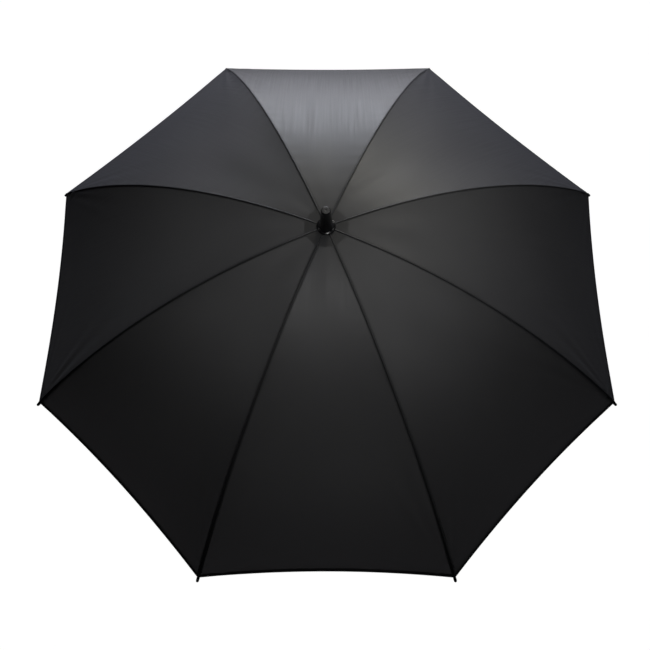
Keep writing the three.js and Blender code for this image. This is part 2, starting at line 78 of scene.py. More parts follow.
PATCH_REACH = 0.0265
JOINT_STATION = 0.25
JOINT_DROP = 0.0045
TONGUE_LENGTH = 0.006
STRAP_RIB = 3
STRAP_START = 0.43
STRAP_LENGTH = 0.115
STRAP_WIDTH = 0.018
STRAP_OFFSET = 0.004
STUD_AT = 0.014                # middle of the press stud, along the strap
SHAFT_RADIUS = 0.005
SHAFT_BORE = 0.0044
SHAFT_BOTTOM = 0.106
SHAFT_TOP = 0.8
PIN_Z = PIVOT_Z - 0.008        # the crown's cross pin
RUNNER_PIN_DROP = 0.05
SPRING_UNDER_PIN = 0.0018      # top of the opening spring below the runner's pin
BUTTON_Z = 0.205
BUTTON_HALF_WIDTH = 0.0037
BUTTON_HALF_HEIGHT = 0.0067
PLUG_TOP = 0.222
HANDLE_RADIUS = 0.0115
HANDLE_TOP = 0.178
CROOK_RADIUS = 0.042
CROOK_Z = CROOK_RADIUS + HANDLE_RADIUS
CROOK_RISE = 0.026
MM = 0.001


# ---------------------------------------------------------------- camera
CAMERA_ELEVATION = math.radians(68.585)
CAMERA_DISTANCE = 1.6213
CAMERA_LENS = 46.72
CAMERA_SHIFT = -0.0119
CAMERA_TARGET = Vector((0.0098, 0, 0.3793))


def make_camera():
    data = bpy.data.cameras.new("camera")
    data.sensor_width = 36
    data.lens = CAMERA_LENS
    data.shift_x = CAMERA_SHIFT
    camera = bpy.data.objects.new("camera", data)
    back = Vector((0, -math.cos(CAMERA_ELEVATION), math.sin(CAMERA_ELEVATION)))
    camera.location = CAMERA_TARGET + back * CAMERA_DISTANCE
    camera.rotation_mode = "QUATERNION"
    camera.rotation_quaternion = (-back).to_track_quat("-Z", "Y")
    bpy.context.scene.collection.objects.link(camera)
    bpy.context.scene.camera = camera


make_camera()


# ---------------------------------------------------------------- materials
class Paint:
    """A Principled material whose colour, roughness and bump come from procedural nodes."""

    def __init__(self, name, roughness, metallic=0.0, **sockets):
        self.material = bpy.data.materials.new(name)
        self.material.use_nodes = True
        self.nodes = self.material.node_tree.nodes
        self.links = self.material.node_tree.links
        self.shader = self.nodes["Principled BSDF"]
        self.shader.inputs["Metallic"].default_value = metallic
        self.shader.inputs["Roughness"].default_value = roughness
        for socket, value in sockets.items():
            self.shader.inputs[socket.replace("_", " ")].default_value = value
        self.normal = None

    def node(self, kind, **settings):
        made = self.nodes.new(kind)
        for key, value in settings.items():
            setattr(made, key, value)
        return made

    def coordinates(self, scale=(1, 1, 1), attribute=None):
        mapping = self.node("ShaderNodeMapping")
        mapping.inputs["Scale"].default_value = scale
        if attribute:
            source = self.node("ShaderNodeAttribute", attribute_name=attribute).outputs["Vector"]
        else:
            source = self.node("ShaderNodeTexCoord").outputs["Object"]
        self.links.new(source, mapping.inputs["Vector"])
        return mapping.outputs["Vector"]

    def noise(self, scale, detail=3.0, stretch=(1, 1, 1), attribute=None):
        made = self.node("ShaderNodeTexNoise")
        made.inputs["Scale"].default_value = scale
        made.inputs["Detail"].default_value = detail
        self.links.new(self.coordinates(stretch, attribute), made.inputs["Vector"])
        return made.outputs["Fac"]

    def wave(self, pitch, direction, attribute):
        made = self.node("ShaderNodeTexWave", bands_direction=direction, wave_profile="SIN")
        made.inputs["Scale"].default_value = math.pi / (10 * pitch)
        self.links.new(self.coordinates(attribute=attribute), made.inputs["Vector"])
        return made.outputs["Fac"]

    def math(self, operation, first, second):
        made = self.node("ShaderNodeMath", operation=operation)
        for socket, value in zip(made.inputs, (first, second)):
            if isinstance(value, (int, float)):
                socket.default_value = value
            else:
                self.links.new(value, socket)
        return made.outputs["Value"]

    def ramp(self, factor, dark, light, low=0.35, high=0.65):
        made = self.node("ShaderNodeValToRGB")
        ends = made.color_ramp.elements
        ends[0].position, ends[0].color = low, (*dark, 1)
        ends[1].position, ends[1].color = high, (*light, 1)
        self.links.new(factor, made.inputs["Fac"])
        return made.outputs["Color"]

    def colour(self, output):
        self.links.new(output, self.shader.inputs["Base Color"])

    def rough(self, factor, low, high):
        made = self.node("ShaderNodeMapRange")
        made.inputs["To Min"].default_value = low
        made.inputs["To Max"].default_value = high
        self.links.new(factor, made.inputs["Value"])
        self.links.new(made.outputs["Result"], self.shader.inputs["Roughness"])

    def bump(self, height, depth, strength=1.0):
        made = self.node("ShaderNodeBump")
        made.inputs["Distance"].default_value = depth
        made.inputs["Strength"].default_value = strength
        self.links.new(height, made.inputs["Height"])
        if self.normal:
            self.links.new(self.normal, made.inputs["Normal"])
        self.normal = made.outputs["Normal"]
        self.links.new(self.normal, self.shader.inputs["Normal"])


def woven(name, dark, light, roughness, sheen, pitch=0.45 * MM, glow=0.0):
    """Plain-woven polyester. The cloth attribute holds metres along and across the cut.
    glow is the share of light from behind that the thin cloth lets through."""
    paint = Paint(name, roughness, Sheen_Weight=sheen, Sheen_Roughness=0.45, Specular_IOR_Level=0.5)
    paint.shader.inputs["Sheen Tint"].default_value = (0.72, 0.76, 0.9, 1)
    cloudy = paint.noise(9, 4)
    streaks = paint.noise(1, 2, (420, 6, 1), "cloth")
    shade = paint.math("ADD", paint.math("MULTIPLY", streaks, 0.5), cloudy)
    paint.colour(paint.ramp(shade, dark, light, 0.55, 0.95))
    paint.rough(streaks, roughness - 0.12, roughness + 0.12)
    paint.bump(streaks, 0.12 * MM, 0.5)
    warp = paint.wave(pitch, "X", "cloth")
    weft = paint.wave(pitch, "Y", "cloth")
    paint.bump(paint.math("MULTIPLY", warp, weft), 0.03 * MM, 0.35)
    stitch = paint.node("ShaderNodeAttribute", attribute_name="stitch").outputs["Fac"]
    thread = paint.math("MULTIPLY", stitch, paint.wave(2.4 * MM, "Y", "cloth"))
    paint.bump(thread, 0.25 * MM, 0.8)
    if glow:
        thin = paint.node("ShaderNodeBsdfTranslucent")
        thin.inputs["Color"].default_value = (0.8, 0.78, 0.78, 1)
        both = paint.node("ShaderNodeMixShader")
        both.inputs["Fac"].default_value = glow
        paint.links.new(paint.shader.outputs["BSDF"], both.inputs[1])
        paint.links.new(thin.outputs["BSDF"], both.inputs[2])
        paint.links.new(both.outputs["Shader"], paint.nodes["Material Output"].inputs["Surface"])
    return paint.material


def coated_steel():
    paint = Paint("coated_steel", 0.38, 0.0, Coat_Weight=0.25, Coat_Roughness=0.2)
    paint.colour(paint.ramp(paint.noise(45, 5), (0.008, 0.008, 0.009), (0.02, 0.02, 0.022)))
    paint.rough(paint.noise(160, 3), 0.3, 0.46)
    paint.bump(paint.noise(900, 2), 0.02 * MM, 0.4)
    return paint.material


def plated_steel():
    paint = Paint("plated_steel", 0.25, 1.0)
    paint.colour(paint.ramp(paint.noise(300, 4), (0.42, 0.42, 0.44), (0.66, 0.66, 0.68)))
    paint.rough(paint.noise(700, 3, (1, 1, 0.1)), 0.16, 0.36)
    paint.bump(paint.noise(2500, 2, (1, 1, 0.1)), 0.005 * MM, 0.5)
    return paint.material


def dark_plated():
    paint = Paint("dark_plated", 0.3, 1.0)
    paint.colour(paint.ramp(paint.noise(400, 3), (0.10, 0.10, 0.11), (0.22, 0.22, 0.23)))
    paint.rough(paint.noise(900, 3), 0.22, 0.42)
    return paint.material


def moulded(name, dark, light, low, high, grain, depth, coat=0.0):
    paint = Paint(name, (low + high) / 2, 0.0, Coat_Weight=coat, Coat_Roughness=0.08)
    paint.colour(paint.ramp(paint.noise(70, 4), dark, light))
    paint.rough(paint.noise(240, 3), low, high)
    paint.bump(paint.noise(grain, 2), depth, 0.6)
    return paint.material


CLOTH_GLOW = 0.06              # share of light that passes the stretched cloth
CANOPY = woven("canopy_cloth", (0.0075, 0.0075, 0.0085), (0.0115, 0.0115, 0.0128), 0.5, 0.25, glow=CLOTH_GLOW)
LINING = woven("lining_cloth", (0.005, 0.005, 0.0055), (0.008, 0.008, 0.009), 0.7, 0.12, 0.8 * MM)
SEAM = woven("seam_cloth", (0.0055, 0.0055, 0.006), (0.0085, 0.0085, 0.0095), 0.55, 0.18, 0.8 * MM)
THREAD = moulded("sewing_thread", (0.006, 0.006, 0.007), (0.014, 0.014, 0.015), 0.6, 0.8, 5000, 0.05 * MM)
STEEL = coated_steel()
PLATED = plated_steel()
TIP = dark_plated()
GLOSS = moulded("gloss_moulding", (0.006, 0.006, 0.007), (0.01, 0.01, 0.011), 0.12, 0.2, 500, 0.01 * MM, 0.3)
SATIN = moulded("satin_moulding", (0.011, 0.011, 0.012), (0.02, 0.02, 0.021), 0.4, 0.55, 2600, 0.03 * MM)
# Painted highlight: the ferrule's flat end face is a lighter grey than its glossy black body.
END_HIGHLIGHT = moulded("painted_end_highlight", (0.02, 0.02, 0.021), (0.06, 0.06, 0.062), 0.4, 0.6, 1800, 0.05 * MM)
SOFT = moulded("soft_grip", (0.012, 0.012, 0.013), (0.022, 0.022, 0.023), 0.62, 0.8, 3200, 0.05 * MM)


# ---------------------------------------------------------------- mesh helpers
def mesh_object(name, points, faces, material, body=None, sharp=35):
    mesh = bpy.data.meshes.new(name)
    mesh.from_pydata([tuple(map(float, p)) for p in points], [], faces)
    mesh.validate()
    mesh.shade_smooth()
    if sharp:
        mesh.set_sharp_from_angle(angle=math.radians(sharp))
    mesh.materials.append(material)
    made = bpy.data.objects.new(name, mesh)
    bpy.context.scene.collection.objects.link(made)
    if body:
        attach(made, body)
    return made


def full_turn(count):
    """Evenly spaced angles once round."""
    return np.linspace(0, 2 * math.pi, count, endpoint=False)


def grid_faces(rows, columns, wrap=False):
    faces = []
    for i in range(rows - 1):
        for j in range(columns if wrap else columns - 1):
            k = (j + 1) % columns
            faces.append((i * columns + j, i * columns + k, (i + 1) * columns + k, (i + 1) * columns + j))
    return faces


def rounded(corners, radius, steps=4):
    """An outline with its inner corners replaced by short arcs."""
    out = [np.array(corners[0], float)]
    for before, corner, after in zip(corners, corners[1:], corners[2:]):
        corner = np.array(corner, float)
        back, ahead = np.array(before) - corner, np.array(after) - corner
        reach = min(radius, 0.45 * np.linalg.norm(back), 0.45 * np.linalg.norm(ahead))
        start = corner + back / np.linalg.norm(back) * reach
        end = corner + ahead / np.linalg.norm(ahead) * reach
        for t in np.linspace(0, 1, steps + 1):
            out.append((1 - t) ** 2 * start + 2 * t * (1 - t) * corner + t * t * end)
    out.append(np.array(corners[-1], float))
    return out


def millimetres(corners, height=0):
    """An outline given in millimetres above a height, in metres."""
    return [(r * MM, height + z * MM) for r, z in corners]


def lathe(name, corners, material, body=None, segments=64, radius=0.5 * MM, closed=False, place=None,
          sharp=35):
    """A turned piece about +Z. An open outline starts and ends on the axis; a closed one makes a ring."""
    ring = corners + corners[:2] if closed else corners
    outline = rounded(ring, radius)
    if closed:
        outline = outline[1:-1]
    angles = full_turn(segments)
    points, faces = [], []
    for r, z in outline:
        points += [(r * math.cos(a), r * math.sin(a), z) for a in angles]
    rows = len(outline)
    faces = grid_faces(rows, segments, wrap=True)
    if closed:
        last = (rows - 1) * segments
        for j in range(segments):
            k = (j + 1) % segments
            faces.append((last + j, last + k, k, j))
    points = np.array(points)
    if place is not None:
        points = points @ np.array(place.to_3x3()).T + np.array(place.translation)
    made = mesh_object(name, points, faces, material, None, sharp)
    weld = made.modifiers.new("weld", "WELD")
    weld.merge_threshold = 1e-6
    apply_modifiers(made)
    if body:
        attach(made, body)
    return made


def apply_modifiers(made):
    graph = bpy.context.evaluated_depsgraph_get()
    mesh = bpy.data.meshes.new_from_object(made.evaluated_get(graph))
    made.modifiers.clear()
    made.data = mesh


def swept(name, path, radii, material, body=None, sides=24, caps=True):
    """A round bar along a list of points, with a radius at each."""
    path = np.array(path, float)
    tangents = np.gradient(path, axis=0)
    tangents /= np.linalg.norm(tangents, axis=1)[:, None]
    side = np.cross(tangents[0], (0, 1, 0) if abs(tangents[0][1]) < 0.9 else (1, 0, 0))
    points = []
    for p, t, r in zip(path, tangents, radii):
        side = side - t * (side @ t)
        side /= np.linalg.norm(side)
        up = np.cross(t, side)
        for a in full_turn(sides):
            points.append(p + r * (math.cos(a) * side + math.sin(a) * up))
    faces = grid_faces(len(path), sides, wrap=True)
    if caps:
        faces.append(tuple(range(sides))[::-1])
        faces.append(tuple(range((len(path) - 1) * sides, len(path) * sides)))
    return mesh_object(name, points, faces, material, body)


class Form:
    """Points and faces gathered from several shapes into one mesh."""

    def __init__(self):
        self.points, self.faces = [], []

    def add(self, points, faces, place=None):
        base = len(self.points)
        points = np.asarray(points, float)
        if place is not None:
            points = points @ np.array(place.to_3x3()).T + np.array(place.translation)
        self.points += [tuple(p) for p in points]
        self.faces += [tuple(base + i for i in face) for face in faces]

    def eye_plate(self, eye, hole, half, length, thickness, place, aside=0.0):
        """A flat bar along +X with a round eye and hole at its start, across the place's Y axis."""
        corner = math.atan2(half, length)
        angles = sorted([*np.linspace(-math.pi, math.pi, 36, endpoint=False), corner, -corner])
        outer = []
        for a in angles:
            reach = eye
            if math.cos(a) > 0:
                reach = max(eye, min(length / math.cos(a), half / max(abs(math.sin(a)), 1e-9)))
            outer.append((reach * math.cos(a), reach * math.sin(a)))
        inner = [(hole * math.cos(a), hole * math.sin(a)) for a in angles]
        y = thickness / 2
        rings = [(outer, y), (inner, y), (inner, -y), (outer, -y), (outer, y)]
        points = [(px, aside + level, pz) for ring, level in rings for px, pz in ring]
        self.add(points, grid_faces(len(rings), len(angles), wrap=True), place)

    def swept(self, sections):
        """A bar through a list of closed sections, each a list of points, with flat ends."""
        count = len(sections[0])
        faces = grid_faces(len(sections), count, wrap=True)
        self.add([p for section in sections for p in section], faces)
        last = len(self.points) - count
        self.faces.append(tuple(range(last, last + count)))
        first = last - (len(sections) - 1) * count
        self.faces.append(tuple(reversed(range(first, first + count))))

    def made(self, name, material, body, sharp=35):
        made = mesh_object(name, self.points, self.faces, material, None, sharp)
        weld = made.modifiers.new("weld", "WELD")
        weld.merge_threshold = 1e-7
        apply_modifiers(made)
        outward(made)
        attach(made, body)
        return made


def outward(made):
    shape = bmesh.new()
    shape.from_mesh(made.data)
    bmesh.ops.recalc_face_normals(shape, faces=shape.faces)
    shape.to_mesh(made.data)
    shape.free()


def box_points(low, high):
    (x0, y0, z0), (x1, y1, z1) = low, high
    points = [(x, y, z) for x in (x0, x1) for y in (y0, y1) for z in (z0, z1)]
    return points, [(0, 1, 3, 2), (4, 6, 7, 5), (0, 4, 5, 1), (2, 3, 7, 6), (0, 2, 6, 4), (1, 5, 7, 3)]


def carve(made, cutters):
    """Cuts each cutter, a list of points and a list of faces, out of the piece."""
    for points, faces in cutters:
        tool = mesh_object("cutter", points, faces, made.data.materials[0])
        outward(tool)
        cut = made.modifiers.new("cut", "BOOLEAN")
        cut.operation = "DIFFERENCE"
        cut.object = tool
        apply_modifiers(made)
        bpy.data.objects.remove(tool)
    made.data.shade_smooth()
    made.data.set_sharp_from_angle(angle=math.radians(35))


def spun(points, azimuth):
    """Points turned about the shaft."""
    c, s = math.cos(azimuth), math.sin(azimuth)
    return [(c * x - s * y, s * x + c * y, z) for x, y, z in points]


def bar_points(radius, length, z, azimuth, sides=24):
    """A round cross bar through the shaft's axis."""
    points = []
    for end in (-length / 2, length / 2):
        for a in full_turn(sides):
            points.append((end, radius * math.cos(a), z + radius * math.sin(a)))
    faces = grid_faces(2, sides, wrap=True)
    faces += [tuple(range(sides)), tuple(reversed(range(sides, 2 * sides)))]
    return spun(points, azimuth), faces


def set_attribute(made, name, values, kind="FLOAT"):
    attribute = made.data.attributes.get(name) or made.data.attributes.new(name, kind, "POINT")
    field = "vector" if kind == "FLOAT_VECTOR" else "value"
    attribute.data.foreach_set(field, np.asarray(values, np.float32).ravel())


# ---------------------------------------------------------------- the rib's curve
def slope_at(station):
    share = np.maximum(station, 0) / RIB_END
    return TIP_SLOPE * (share + SLOPE_BULGE * np.sin(math.pi * share))


CURVE_STATIONS = np.linspace(-0.01, 0.6, 1221)
_turn = slope_at((CURVE_STATIONS[1:] + CURVE_STATIONS[:-1]) / 2)
_step = np.diff(CURVE_STATIONS)
_radius = np.concatenate([[0], np.cumsum(_step * np.cos(_turn))])
_height = np.concatenate([[0], np.cumsum(-_step * np.sin(_turn))])
CURVE_RADIUS = PIVOT_RADIUS + _radius - np.interp(0, CURVE_STATIONS, _radius)
CURVE_HEIGHT = PIVOT_Z + _height - np.interp(0, CURVE_STATIONS, _height)


def on_rib(station, above=0.0):
    """Radius and height of a point above the rib's centreline."""
    slope = slope_at(station)
    radius = np.interp(station, CURVE_STATIONS, CURVE_RADIUS)
    height = np.interp(station, CURVE_STATIONS, CURVE_HEIGHT)
    return radius + above * np.sin(slope), height + above * np.cos(slope)


def chord_at(station):
    """Distance between two neighbouring ribs."""
    return 2 * np.interp(station, CURVE_STATIONS, CURVE_RADIUS) * math.sin(RIB_STEP / 2)


def rib_azimuth(number):
    return RIB_STEP * (number - 0.5)


def rib_directions(number):
    """Away from the shaft along the rib, and square to that."""
    c, s = math.cos(rib_azimuth(number)), math.sin(rib_azimuth(number))
    return np.array([c, s]), np.array([-s, c])


def on_panel(number, station, share, above):
    """Points of the canopy between rib number (share 0) and the next (share 1)."""
    radius, height = on_rib(station, above)
    first, last = rib_azimuth(number), rib_azimuth(number) + RIB_STEP
    x = radius * ((1 - share) * math.cos(first) + share * math.cos(last))
    y = radius * ((1 - share) * math.sin(first) + share * math.sin(last))
    swell = np.sin(0.75 * math.pi * np.maximum(station, 0) / RIB_END) ** 2
    return np.stack([x, y, height - PANEL_SAG * swell * 4 * share * (1 - share)], -1)


def frame_at(origin, ahead, up):
    """A place whose X axis points ahead and whose Z axis is the part of up square to it."""
    x = Vector(ahead).normalized()
    y = Vector(up).cross(x).normalized()
    z = x.cross(y)
    turn = Matrix((x, y, z)).transposed()
    return Matrix.Translation(Vector(origin)) @ turn.to_4x4()


def rib_place(number, station, above=0.0):
    """The place on a rib: X along it, Y across it, Z out of it."""
    azimuth, slope = rib_azimuth(number), float(slope_at(station))
    radius, height = on_rib(station, above)
    out = Vector((math.cos(azimuth), math.sin(azimuth), 0))
    ahead = out * math.cos(slope) - Vector((0, 0, math.sin(slope)))
    return frame_at(out * float(radius) + Vector((0, 0, float(height))), ahead, (0, 0, 1))


def ring_section(radius, x, sides=20):
    angles = full_turn(sides)
    return [(x, radius * math.cos(a), radius * math.sin(a)) for a in angles]


def moved(points, place):
    return [tuple(place @ Vector(p)) for p in points]


def joint_place():
    """Radius and height of the joint between a rib and its stretcher, at rest."""
    radius, height = on_rib(JOINT_STATION, -JOINT_DROP)
    return float(radius), float(height)


LINK = math.hypot(joint_place()[0] - PIVOT_RADIUS, joint_place()[1] - PIVOT_Z)
OPEN_ANGLE = math.acos((PIVOT_Z - joint_place()[1]) / LINK)
CLOSED_FOLD = math.radians(63)
RUNNER_Z = PIVOT_Z - 2 * LINK * math.cos(OPEN_ANGLE)
RUNNER_CLOSED_Z = PIVOT_Z - 2 * LINK * math.cos(OPEN_ANGLE - CLOSED_FOLD)


# ---------------------------------------------------------------- canopy
ROWS, COLUMNS = 121, 49


def spaced(count):
    """Shares of a width from 0 to 1, closer together towards both ends."""
    even = np.linspace(0, 1, count)
    return 0.5 * even + 0.25 * (1 - np.cos(math.pi * even))


def panel_grid():
    along, share = np.meshgrid(np.linspace(0, 1, ROWS), spaced(COLUMNS), indexing="ij")
    corner = CLOTH_CORNER - HEM_SCALLOP * 4 * share * (1 - share)
    return CLOTH_START + (corner - CLOTH_START) * along, share, corner


def cloth_relief(number, station, share, corner):
    """Height of puckers beside the seams, of pull lines from the corners and of the turned hem."""
    rng = np.random.default_rng(40 + number)
    chord = chord_at(station)
    side = np.minimum(share, 1 - share) * chord
    to_hem = corner - station
    relief = np.zeros_like(station)
    for left in (True, False):
        across = (share if left else 1 - share) * chord
        drift = rng.uniform(0, 6)
        wander = 1.3 * np.sin(station * 2 * math.pi / 0.11 + drift)
        beat = np.sin(station * 2 * math.pi / 0.031 + drift + wander)
        relief += 0.14 * MM * beat * np.exp(-across / 0.014) * np.clip(across / 0.006, 0, 1)
        away = np.hypot(across, CLOTH_CORNER - station)
        turn = np.arctan2(across, np.maximum(CLOTH_CORNER - station, 1e-6))
        beside_rib = np.exp(-((turn - 0.2) / 0.22) ** 2)
        pulls = np.cos(turn * rng.uniform(24, 32) + rng.uniform(0, 6) + away * rng.uniform(-9, 9))
        relief += 2.2 * MM * pulls * beside_rib * np.exp(-away / 0.07) * np.clip(away / 0.02, 0, 1) ** 1.5
        beside_hem = np.exp(-((turn - 1.25) / 0.25) ** 2)
        pulls = np.cos(turn * rng.uniform(22, 28) + rng.uniform(0, 6))
        relief += 0.9 * MM * pulls * beside_hem * np.exp(-away / 0.06) * np.clip(away / 0.03, 0, 1) ** 2
    slow = np.sin(station * rng.uniform(14, 20) + rng.uniform(0, 6))
    slow = slow * np.sin(share * math.pi * 2 + rng.uniform(0, 6))
    relief += 0.8 * MM * slow * np.sin(math.pi * share) ** 2 * np.clip(to_hem / 0.1, 0, 1)
    relief *= np.clip(side / 0.003, 0, 1) * np.clip((station - 0.02) / 0.06, 0, 1)
    relief += 0.3 * MM * (to_hem < HEM_WIDTH) * np.clip(side / 0.002, 0, 1)
    return relief


def cloth_surface(number, station, share, corner, below=0.0):
    """Points of the wrinkled cloth, or that far below it, and the smooth cloth's points."""
    step = 1e-4
    along = on_panel(number, station + step, share, CLOTH_ABOVE)
    along = along - on_panel(number, station - step, share, CLOTH_ABOVE)
    across = on_panel(number, station, share + step, CLOTH_ABOVE)
    across = across - on_panel(number, station, share - step, CLOTH_ABOVE)
    normals = np.cross(along, across)
    normals /= np.linalg.norm(normals, axis=-1)[..., None]
    smooth = on_panel(number, station, share, CLOTH_ABOVE)
    return smooth + normals * (cloth_relief(number, station, share, corner) - below)[..., None], smooth


def cloth_coordinates(made, station, share):
    chord = chord_at(station)
    set_attribute(made, "cloth", np.stack([(share - 0.5) * chord, station, 0 * station], -1), "FLOAT_VECTOR")


def make_panel(number):
    station, share, corner = panel_grid()
    points, smooth = cloth_surface(number, station, share, corner)
    faces = grid_faces(ROWS, COLUMNS)
    made = mesh_object(f"canopy_cloth_{number}", points.reshape(-1, 3), faces, CANOPY, None, 0)
    cloth_coordinates(made, station, share)
    set_attribute(made, "stitch", np.exp(-((corner - station - HEM_WIDTH + 0.001) / 0.0006) ** 2))
    blend_across(made, number, share)
    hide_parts(f"canopy_panel_{number}")
    hem = make_hem(number)
    return made


def make_hem(number):
    """The cloth's edge, turned under: round the edge and back beneath it."""
    share = spaced(COLUMNS)
    corner = CLOTH_CORNER - HEM_SCALLOP * 4 * share * (1 - share)
    profile = [(0.1, -0.1), (-0.25, 0.0), (-0.4, 0.25), (-0.25, 0.5), (0.2, 0.6), (3, 0.55), (7, 0.45)]
    rows = []
    for inset, below in profile:
        rows.append(cloth_surface(number, corner - inset * MM, share, corner, below * MM)[0])
    faces = grid_faces(len(profile), COLUMNS)
    made = mesh_object(f"canopy_hem_{number}", np.array(rows).reshape(-1, 3), faces, CANOPY, None, 0)
    shares = np.tile(share, (len(profile), 1))
    cloth_coordinates(made, np.array([corner - inset * MM for inset, below in profile]), shares)
    set_attribute(made, "stitch", np.array([[0.8 * (inset == 7)] * COLUMNS for inset, below in profile]))
    blend_across(made, number, shares)
    return made


def make_allowance(number):
    """The raw edges of two panels, sewn and laid flat under the seam."""
    rows, halves = 100, np.array([-3.3, -2.0, 0.0, 2.0, 3.3]) * MM
    stations = np.linspace(0.02, CLOTH_CORNER - 0.008, rows)
    out, aside = rib_directions(number)
    points, cloth = [], []
    for s in stations:
        waver = 0.1 * MM * math.sin(s * 90 + number)
        for across in halves:
            radius, height = on_rib(s, CLOTH_ABOVE - 0.35 * MM)
            radius -= abs(across) * math.tan(RIB_STEP / 2)
            flat = out * radius + aside * (across + waver * (across != 0))
            points.append((flat[0], flat[1], height))
            cloth.append((across, s, 0))
    made = mesh_object(f"seam_allowance_{number}", points, grid_faces(rows, len(halves)), LINING, None, 0)
    set_attribute(made, "cloth", cloth, "FLOAT_VECTOR")
    set_attribute(made, "stitch", np.zeros(len(points)))
    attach(made, f"rib_{number}")


def blend_across(made, number, share):
    """The cloth follows one rib at its first edge and the next rib at its other edge."""
    start = on_panel(number, np.array(0.3), np.array(0.0), CLOTH_ABOVE)
    end = on_panel(number, np.array(0.3), np.array(1.0), CLOTH_ABOVE)
    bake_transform(made, f"rib_{number}", f"panel_{number}", start=tuple(start), end=tuple(end))
    set_attribute(made, "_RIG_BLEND", share)


def make_patch(number):
    """One eighth of the double cloth under the canopy round the crown."""
    rows, columns = 14, 13
    along, share = np.meshgrid(np.linspace(0, 1, rows), np.linspace(0, 1, columns), indexing="ij")
    station = PATCH_START + (PATCH_REACH - PATCH_START) * along
    points = on_panel(number, station, share, PATCH_ABOVE)
    faces = grid_faces(rows, columns)
    made = mesh_object(f"crown_patch_{number}", points.reshape(-1, 3), faces, LINING, None, 0)
    cloth_coordinates(made, station, share)
    set_attribute(made, "stitch", np.exp(-((PATCH_REACH - station - 0.002) / 0.0006) ** 2))
    blend_across(made, number, share)
    if number == 1:
        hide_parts("crown_patch")


def make_seam(number):
    """The felled seam over a rib: a narrow raised band with a stitched line each side."""
    rows = 150
    stations = np.linspace(0.006, CLOTH_CORNER + 0.001, rows)
    profile = [(-1.9, -0.2), (-1.75, 0.2), (-1.5, 0.3), (-1.3, 0.22), (-1.05, 0.6), (-0.6, 0.85), (0, 0.95),
               (0.6, 0.85), (1.05, 0.6), (1.3, 0.22), (1.5, 0.3), (1.75, 0.2), (1.9, -0.2)]
    out, aside = rib_directions(number)
    points, cloth, stitch = [], [], []
    for s in stations:
        wide = min(1.0, 0.55 + s / 0.1)
        for x, y in profile:
            across = x * MM * wide
            radius, height = on_rib(s, CLOTH_ABOVE + y * MM)
            radius -= abs(across) * math.tan(RIB_STEP / 2)
            flat = out * radius + aside * across
            points.append((flat[0], flat[1], height))
            cloth.append((across, s, 0))
            stitch.append(1.0 if abs(abs(x) - 1.3) < 0.05 else 0.0)
    faces = grid_faces(rows, len(profile))
    made = mesh_object(f"canopy_seam_{number}", points, faces, SEAM, None, 0)
    set_attribute(made, "cloth", cloth, "FLOAT_VECTOR")
    set_attribute(made, "stitch", stitch)
    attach(made, f"rib_{number}")
    return made


for number in range(1, RIBS + 1):
    make_panel(number)
    make_patch(number)
    make_seam(number)
    make_allowance(number)


# ---------------------------------------------------------------- closing strap
def strap_place(along, across, drop):
    station = STRAP_START + STRAP_LENGTH * along
    chord = chord_at(station)
    share = (STRAP_OFFSET + STRAP_WIDTH * across) / chord
    return on_panel(STRAP_RIB, station, share, 0.0028 - drop)


def make_strap():
    """A band of doubled cloth, hemmed all round, with a press stud at its free end."""
    rows, columns = 60, 15
    along, across = np.meshgrid(np.linspace(0, 1, rows), np.linspace(0, 1, columns), indexing="ij")
    rounded_end = 0.5 - 0.5 * np.sqrt(np.clip(1 - np.clip(1 - along * STRAP_LENGTH / 0.004, 0, 1) ** 2, 0, 1))
    width = 0.5 + (across - 0.5) * (1 - 0.35 * rounded_end)
    to_side = np.minimum(across, 1 - across) * STRAP_WIDTH
    edge = np.minimum(to_side, np.minimum(along, 1 - along) * STRAP_LENGTH)
    ripple = 0.12 * MM * np.sin(along * 46) * np.sin(across * 5) + 0.1 * MM * np.clip(1 - edge / 0.0022, 0, 1)
    points = strap_place(along, width, 1.2 * MM + ripple)
    body = f"rib_{STRAP_RIB}"
    made = mesh_object("closing_band", points.reshape(-1, 3), grid_faces(rows, columns), LINING, body, 0)
    cloth = np.stack([across * STRAP_WIDTH, along * STRAP_LENGTH, 0 * along], -1)
    set_attribute(made, "cloth", cloth, "FLOAT_VECTOR")
    set_attribute(made, "stitch", np.exp(-((edge - 0.0022) / 0.0005) ** 2))
    thick = made.modifiers.new("thickness", "SOLIDIFY")
    thick.thickness = 0.5 * MM
    thick.offset = 0
    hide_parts("closing_strap")
    middle, ahead, aside = [Vector(strap_place(np.array(station / STRAP_LENGTH), np.array(share), 1.9 * MM))
                            for station, share in ((STUD_AT, 0.5), (STUD_AT + 0.006, 0.5), (STUD_AT, 0.9))]
    ahead -= middle
    aside -= middle
    place = frame_at(middle, ahead, ahead.cross(aside))
    stud = [(0, -1.5), (1.3, -1.5), (1.6, -2.2), (2.4, -2.3), (3.6, -2.0), (4.6, -1.4), (5.0, -0.7),
            (4.9, -0.2), (0, -0.2)]
    snap = lathe("press_stud", millimetres(stud), SATIN, body, 48, 0.2 * MM, place=place)
    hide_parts("strap_snap")


make_strap()


# ---------------------------------------------------------------- ribs, stretchers and what joins them
CHANNEL = [(-1.6, -1.6), (-1.6, 1.1), (-1.52, 1.29), (-1.3, 1.4), (1.3, 1.4), (1.52, 1.29), (1.6, 1.1),
           (1.6, -1.6), (1.1, -1.6), (1.1, 0.8), (1.0, 0.9), (-1.0, 0.9), (-1.1, 0.8), (-1.1, -1.6)]
STRETCHER = [(y, -z) for y, z in CHANNEL]


